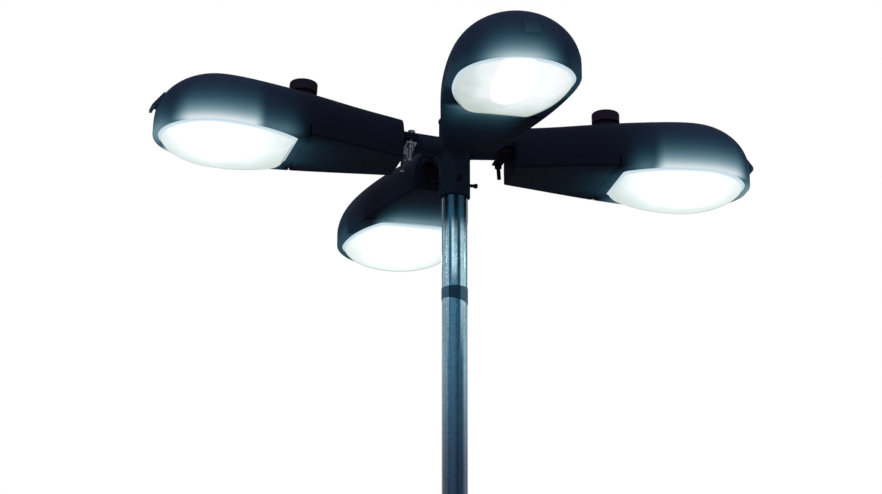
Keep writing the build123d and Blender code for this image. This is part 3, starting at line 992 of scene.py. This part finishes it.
@dataclass
class Head:
    """One road luminaire: housing, glass door, lamp and fittings.

    spill holds the spill light's levels on the sides, on the nose and behind the glass, and towards
    the way, in the head's frame, in which the glass is brightest.
    """

    side: Side
    level_deg: float
    spill: tuple[float, float, float]
    towards: tuple[float, float]
    strong_from: float = 0.405
    ramp_reach: float = 1.6
    blotch_share: float = 0.14
    glare: float = 1.06
    spot_stretch: float = 1.0
    spot_side: float = 0.0
    spill_offset: float = 0.0
    rim_shift: float = 0.110
    spot_shift: float = 0.030
    offset: float = 0.215
    seam_back: float = -0.056
    seam_nose: float = -0.012
    door_back: float = 0.252
    nose: float = 0.685
    half_gap: float = 0.0025
    gasket_height: float = 0.0049
    flatness: float = 0.0003
    merge_distance: float = 0.00003

    @property
    def origin(self) -> Vector:
        """Middle of the head's pipe socket."""
        rise = math.radians(ARM_RISE_DEG)
        flat = Vector((self.offset * math.cos(rise), 0.0, self.offset * math.sin(rise)))
        turn = Matrix.Rotation(math.radians(self.side.value), 3, "Z")
        return turn @ flat + Vector((0.0, 0.0, BRACKET_HEIGHT))

    @property
    def turn(self) -> Euler:
        """The head's turn and level."""
        return Euler((0.0, math.radians(-self.level_deg), math.radians(self.side.value)))

    @property
    def matrix(self) -> Matrix:
        """From the head's frame to the row frame."""
        return Matrix.Translation(self.origin) @ self.turn.to_matrix().to_4x4()

    @property
    def door(self) -> str:
        """Body that carries the door."""
        return f"door_{self.side.label}"

    def node(self, piece: str) -> str:
        """Name of one of the head's CAD nodes."""
        return f"{piece}_{self.side.label}"

    def dress(self, shared: dict[str, Material]) -> Material:
        """Finish the head's CAD nodes.

        Args:
            shared: materials that all heads use, by piece.

        Returns:
            The head's paint.
        """
        own = {"origin": tuple(self.origin), "turn": tuple(self.turn)}
        sides, nose, rear = self.spill
        # Satin polyester paint on a casting: near black at the pipe end, navy at the optic
        paint = CastPaint(f"cast_paint_{self.side.label}", "10141f", 0.6, specular=0.003,
                          shade_colour="0b0e17", pattern_mm=26.0, bump_mm=0.1, side_level=sides,
                          nose_level=nose, rear_level=rear, strong_from=self.strong_from,
                          spill_offset=self.spill_offset, **own).build()
        # Pressed glass refractor lit from inside: clipped white with a cool pale rim
        middle, hot = (tuple(c + shift * t for c, t in zip(LitGlass.centre, self.towards))
                       for shift in (self.rim_shift, self.spot_shift))
        glass = LitGlass(f"lit_glass_{self.side.label}", "0c1011", 0.12, specular=0.003, bump_mm=0.5,
                         centre=middle, spot=(hot[0], hot[1] + self.spot_side),
                         ramp_reach=self.ramp_reach, blotch_share=self.blotch_share,
                         glare=self.glare, spot_stretch=self.spot_stretch, **own).build()
        for piece in ("housing", "door_frame", "latch"):
            dress(self.node(piece), paint)
        dress(self.node("lens"), glass)
        for piece, material in shared.items():
            dress(self.node(piece), material)
        return paint

    def build_gasket(self, paint: Material) -> None:
        """Raise a seal on the rim of the door, in the seam and in the head's colour.

        Args:
            paint: the head's paint.
        """
        back = self.matrix.inverted()
        slope = (self.seam_nose - self.seam_back) / (self.nose - self.door_back)
        normal = Vector((-slope, 0.0, 1.0)).normalized()
        rim = Vector((self.door_back, 0.0, self.seam_back - self.half_gap))
        shape = bmesh.new()
        shape.from_mesh(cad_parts[self.node("door_frame")].data)
        bmesh.ops.transform(shape, matrix=back, verts=shape.verts)
        off = [f for f in shape.faces
               if any(abs((v.co - rim).dot(normal)) > self.flatness for v in f.verts)]
        bmesh.ops.delete(shape, geom=off, context="FACES")
        bmesh.ops.remove_doubles(shape, verts=shape.verts, dist=self.merge_distance)
        top = bmesh.ops.extrude_face_region(shape, geom=shape.faces[:], use_keep_orig=True)
        raised = [g for g in top["geom"] if isinstance(g, bmesh.types.BMVert)]
        bmesh.ops.translate(shape, verts=raised, vec=normal * self.gasket_height)
        bmesh.ops.recalc_face_normals(shape, faces=shape.faces)
        bmesh.ops.transform(shape, matrix=self.matrix, verts=shape.verts)
        mesh = bpy.data.meshes.new(self.node("door_gasket"))
        shape.to_mesh(mesh)
        shape.free()
        mesh.materials.append(paint)
        new_piece(self.node("door_gasket"), mesh, self.door)


@dataclass
class Studio:
    """Floor, background, lamps and the camera.

    key and fill hold a lamp's strength, its lean from straight down and its turn, in degrees.
    """

    hub: tuple[float, float, float] = (0.0, 0.0, BRACKET_HEIGHT)
    hub_pixel: tuple[float, float] = (454.6, 149.5)
    azimuth_deg: float = 14.0
    elevation_deg: float = 21.0
    distance: float = 16.0
    mm_per_pixel: float = 2.95
    sensor_mm: float = 36.0
    far_clip: float = 300.0
    floor_radius: float = 2.0
    floor_segments: int = 128
    ambient: float = 0.4
    key: tuple[float, float, float] = (1.6, 48.0, -35.0)
    fill: tuple[float, float, float] = (0.7, 62.0, 60.0)
    lamp_angle_deg: float = 70.0

    def build_camera(self) -> None:
        """Stand the camera where the photograph was taken from."""
        a, e = math.radians(self.azimuth_deg), math.radians(self.elevation_deg)
        ahead = Vector((math.sin(a) * math.cos(e), math.cos(a) * math.cos(e), math.sin(e)))
        right = Vector((math.cos(a), -math.sin(a), 0.0))
        up = right.cross(ahead)
        focal = self.distance / (self.mm_per_pixel * MM)
        across = IMAGE_WIDTH / 2 - self.hub_pixel[0]
        down = IMAGE_HEIGHT / 2 - self.hub_pixel[1]
        aim = ahead * focal + right * across - up * down
        data = bpy.data.cameras.new("camera")
        data.sensor_width = self.sensor_mm
        data.lens = self.sensor_mm * focal / IMAGE_WIDTH
        data.clip_end = self.far_clip
        camera = bpy.data.objects.new("camera", data)
        camera.location = Vector(self.hub) - ahead * self.distance
        camera.rotation_mode = "QUATERNION"
        camera.rotation_quaternion = aim.to_track_quat("-Z", "Y")
        bpy.context.scene.collection.objects.link(camera)
        bpy.context.scene.camera = camera

    def build_world(self) -> None:
        """White behind the object and in its gloss, softer as ambient light."""
        world = bpy.data.worlds.new("studio")
        bpy.context.scene.world = world
        world.use_nodes = True
        tree = world.node_tree
        tree.nodes.clear()
        path = add_node(tree, "ShaderNodeLightPath")
        shown = combine(tree, "MAXIMUM", *(path.outputs[f"Is {ray} Ray"]
                                           for ray in ("Camera", "Glossy", "Transmission")))
        level = add_node(tree, "ShaderNodeMapRange", {
            "Value": shown, "To Min": self.ambient, "To Max": 1.0})
        back = add_node(tree, "ShaderNodeBackground", {
            "Color": (1.0, 1.0, 1.0, 1.0), "Strength": level.outputs["Result"]})
        add_node(tree, "ShaderNodeOutputWorld", {"Surface": back.outputs["Background"]})

    def build_lamps(self) -> None:
        """Two wide soft lamps, a key from the left front and a fill from the right."""
        for name, (strength, lean, turn) in (("key", self.key), ("fill", self.fill)):
            lamp = bpy.data.lights.new(name, "SUN")
            lamp.energy = strength
            lamp.angle = math.radians(self.lamp_angle_deg)
            holder = bpy.data.objects.new(name, lamp)
            holder.rotation_euler = (math.radians(lean), 0.0, math.radians(turn))
            bpy.context.scene.collection.objects.link(holder)

    def build_floor(self) -> None:
        """Pale round floor under the base plate, small and fading out."""
        shape = bmesh.new()
        bmesh.ops.create_circle(shape, cap_ends=True, segments=self.floor_segments,
                                radius=self.floor_radius)
        mesh = bpy.data.meshes.new("floor")
        shape.to_mesh(mesh)
        shape.free()
        # Matt painted floor: pale, with a faint roller mottle
        paint = FloorPaint("floor_paint", "f4f4f2", 0.9, specular=0.1, shade_colour="eeeeec",
                           pattern_mm=400.0, bump_mm=0.0, fade_to=self.floor_radius).build()
        mesh.materials.append(paint)
        floor = bpy.data.objects.new("floor", mesh)
        bpy.context.scene.collection.objects.link(floor)

    def build(self) -> None:
        """Set up the whole studio."""
        bpy.context.scene.view_settings.view_transform = "Standard"
        self.build_world()
        self.build_lamps()
        self.build_floor()
        self.build_camera()


def main() -> None:
    """Build the studio, finishes and sub-assemblies in order."""
    logging.basicConfig(level=logging.INFO, format="%(name)s: %(message)s")
    Studio().build()
    # Hot-dip galvanised steel: blue-grey zinc with drawn lines, mirrors the lit glass as streaks, partly as
    # painted reflections, with painted lamp light on high and painted shade lower down
    zinc = GalvanisedPole("galvanised_steel", "7b9cb1", 0.24, metallic=0.9, pattern_share=0.26,
                          bump_mm=0.03).build()
    # Gloss vinyl tape: dark blue, smooth enough to mirror the lamps, with painted reflection runs as well
    tape = GlossTape("gloss_tape", "2c4c64", 0.3, specular=0.05, pattern_share=0.1, bump_mm=0.02).build()
    # Satin paint on the welded bracket, in the dark between the heads
    paint = Finish("bracket_paint", "1a2332", 0.6, specular=0.003, shade_colour="10151f",
                   pattern_mm=18.0, bump_mm=0.1).build()
    # Bright zinc plating: pale grey metal with a dull bloom
    bright = Finish("zinc_plating", "8d93a6", 0.38, metallic=0.9, shade_colour="6f7588",
                    pattern_mm=6.0, bump_mm=0.03).build()
    # Zinc plating in mid grey, less bright than the bright plating
    dull = Finish("weathered_zinc", "5c6070", 0.55, metallic=0.8, shade_colour="434654",
                  pattern_mm=6.0, bump_mm=0.05).build()
    # Zinc plating with a maroon cast of rust, painted near black as shade
    rust_and_shade = Finish("rusted_zinc", "170f15", 0.8, specular=0.003, shade_colour="0e0a10",
                    pattern_mm=5.0, bump_mm=0.15).build()
    shared = {
        # Polycarbonate cap browned by sun: black with a maroon cast
        "photocell": Finish("cap_plastic", "201c2b", 0.55, specular=0.005, shade_colour="1a1520",
                            pattern_mm=14.0, bump_mm=0.1).build(),
        # Spun anodised aluminium: bright, slightly hammered
        "reflector": Finish("spun_aluminium", "d9dde0", 0.22, metallic=1.0, shade_colour="c3c9ce",
                            pattern_mm=10.0, bump_mm=0.3).build(),
        # Unglazed porcelain: chalky off-white
        "lamp_socket": Finish("porcelain", "dcd6cc", 0.7, shade_colour="cbc3b6",
                              pattern_mm=8.0, bump_mm=0.05).build(),
        # Clear lamp bulb: burning white, warmer in clouds
        "lamp": LampGlass("lamp_glass", "fbf8f0", 0.08, pattern_mm=40.0).build(),
    }
    weld, screws = WeldBead(), ScrewHeads()
    pole = Pole()
    pole.dress(zinc, tape)
    pole.build(weld, screws, zinc, bright)
    bracket = Bracket()
    bracket.dress(paint, rust_and_shade)
    bracket.build(weld, paint)
    heads = (Head(Side.RIGHT, 1.0, (0.74, 0.25, 0.05), (-0.242, -0.970), strong_from=0.365),
             Head(Side.BACK, 1.0, (0.06, 0.05, 0.50), (-0.970, 0.242)),
             Head(Side.LEFT, 3.5, (0.78, 0.25, 0.05), (0.242, 0.970)),
             Head(Side.FRONT, 1.3, (0.03, 0.50, 0.15), (0.98, 0.10), ramp_reach=1.5,
                  blotch_share=0.30, glare=0.95, spot_stretch=2.2, spot_side=-0.034,
                  spot_shift=0.095, spill_offset=-0.03))
    for head in heads:
        # The left pipe clamp is mid grey zinc; on the other heads it is painted near black as shade
        clamp = dull if head.side is Side.LEFT else rust_and_shade
        coat = head.dress({**shared, "pipe_clamp": clamp})
        head.build_gasket(coat)


if __name__ == "__main__":
    main()
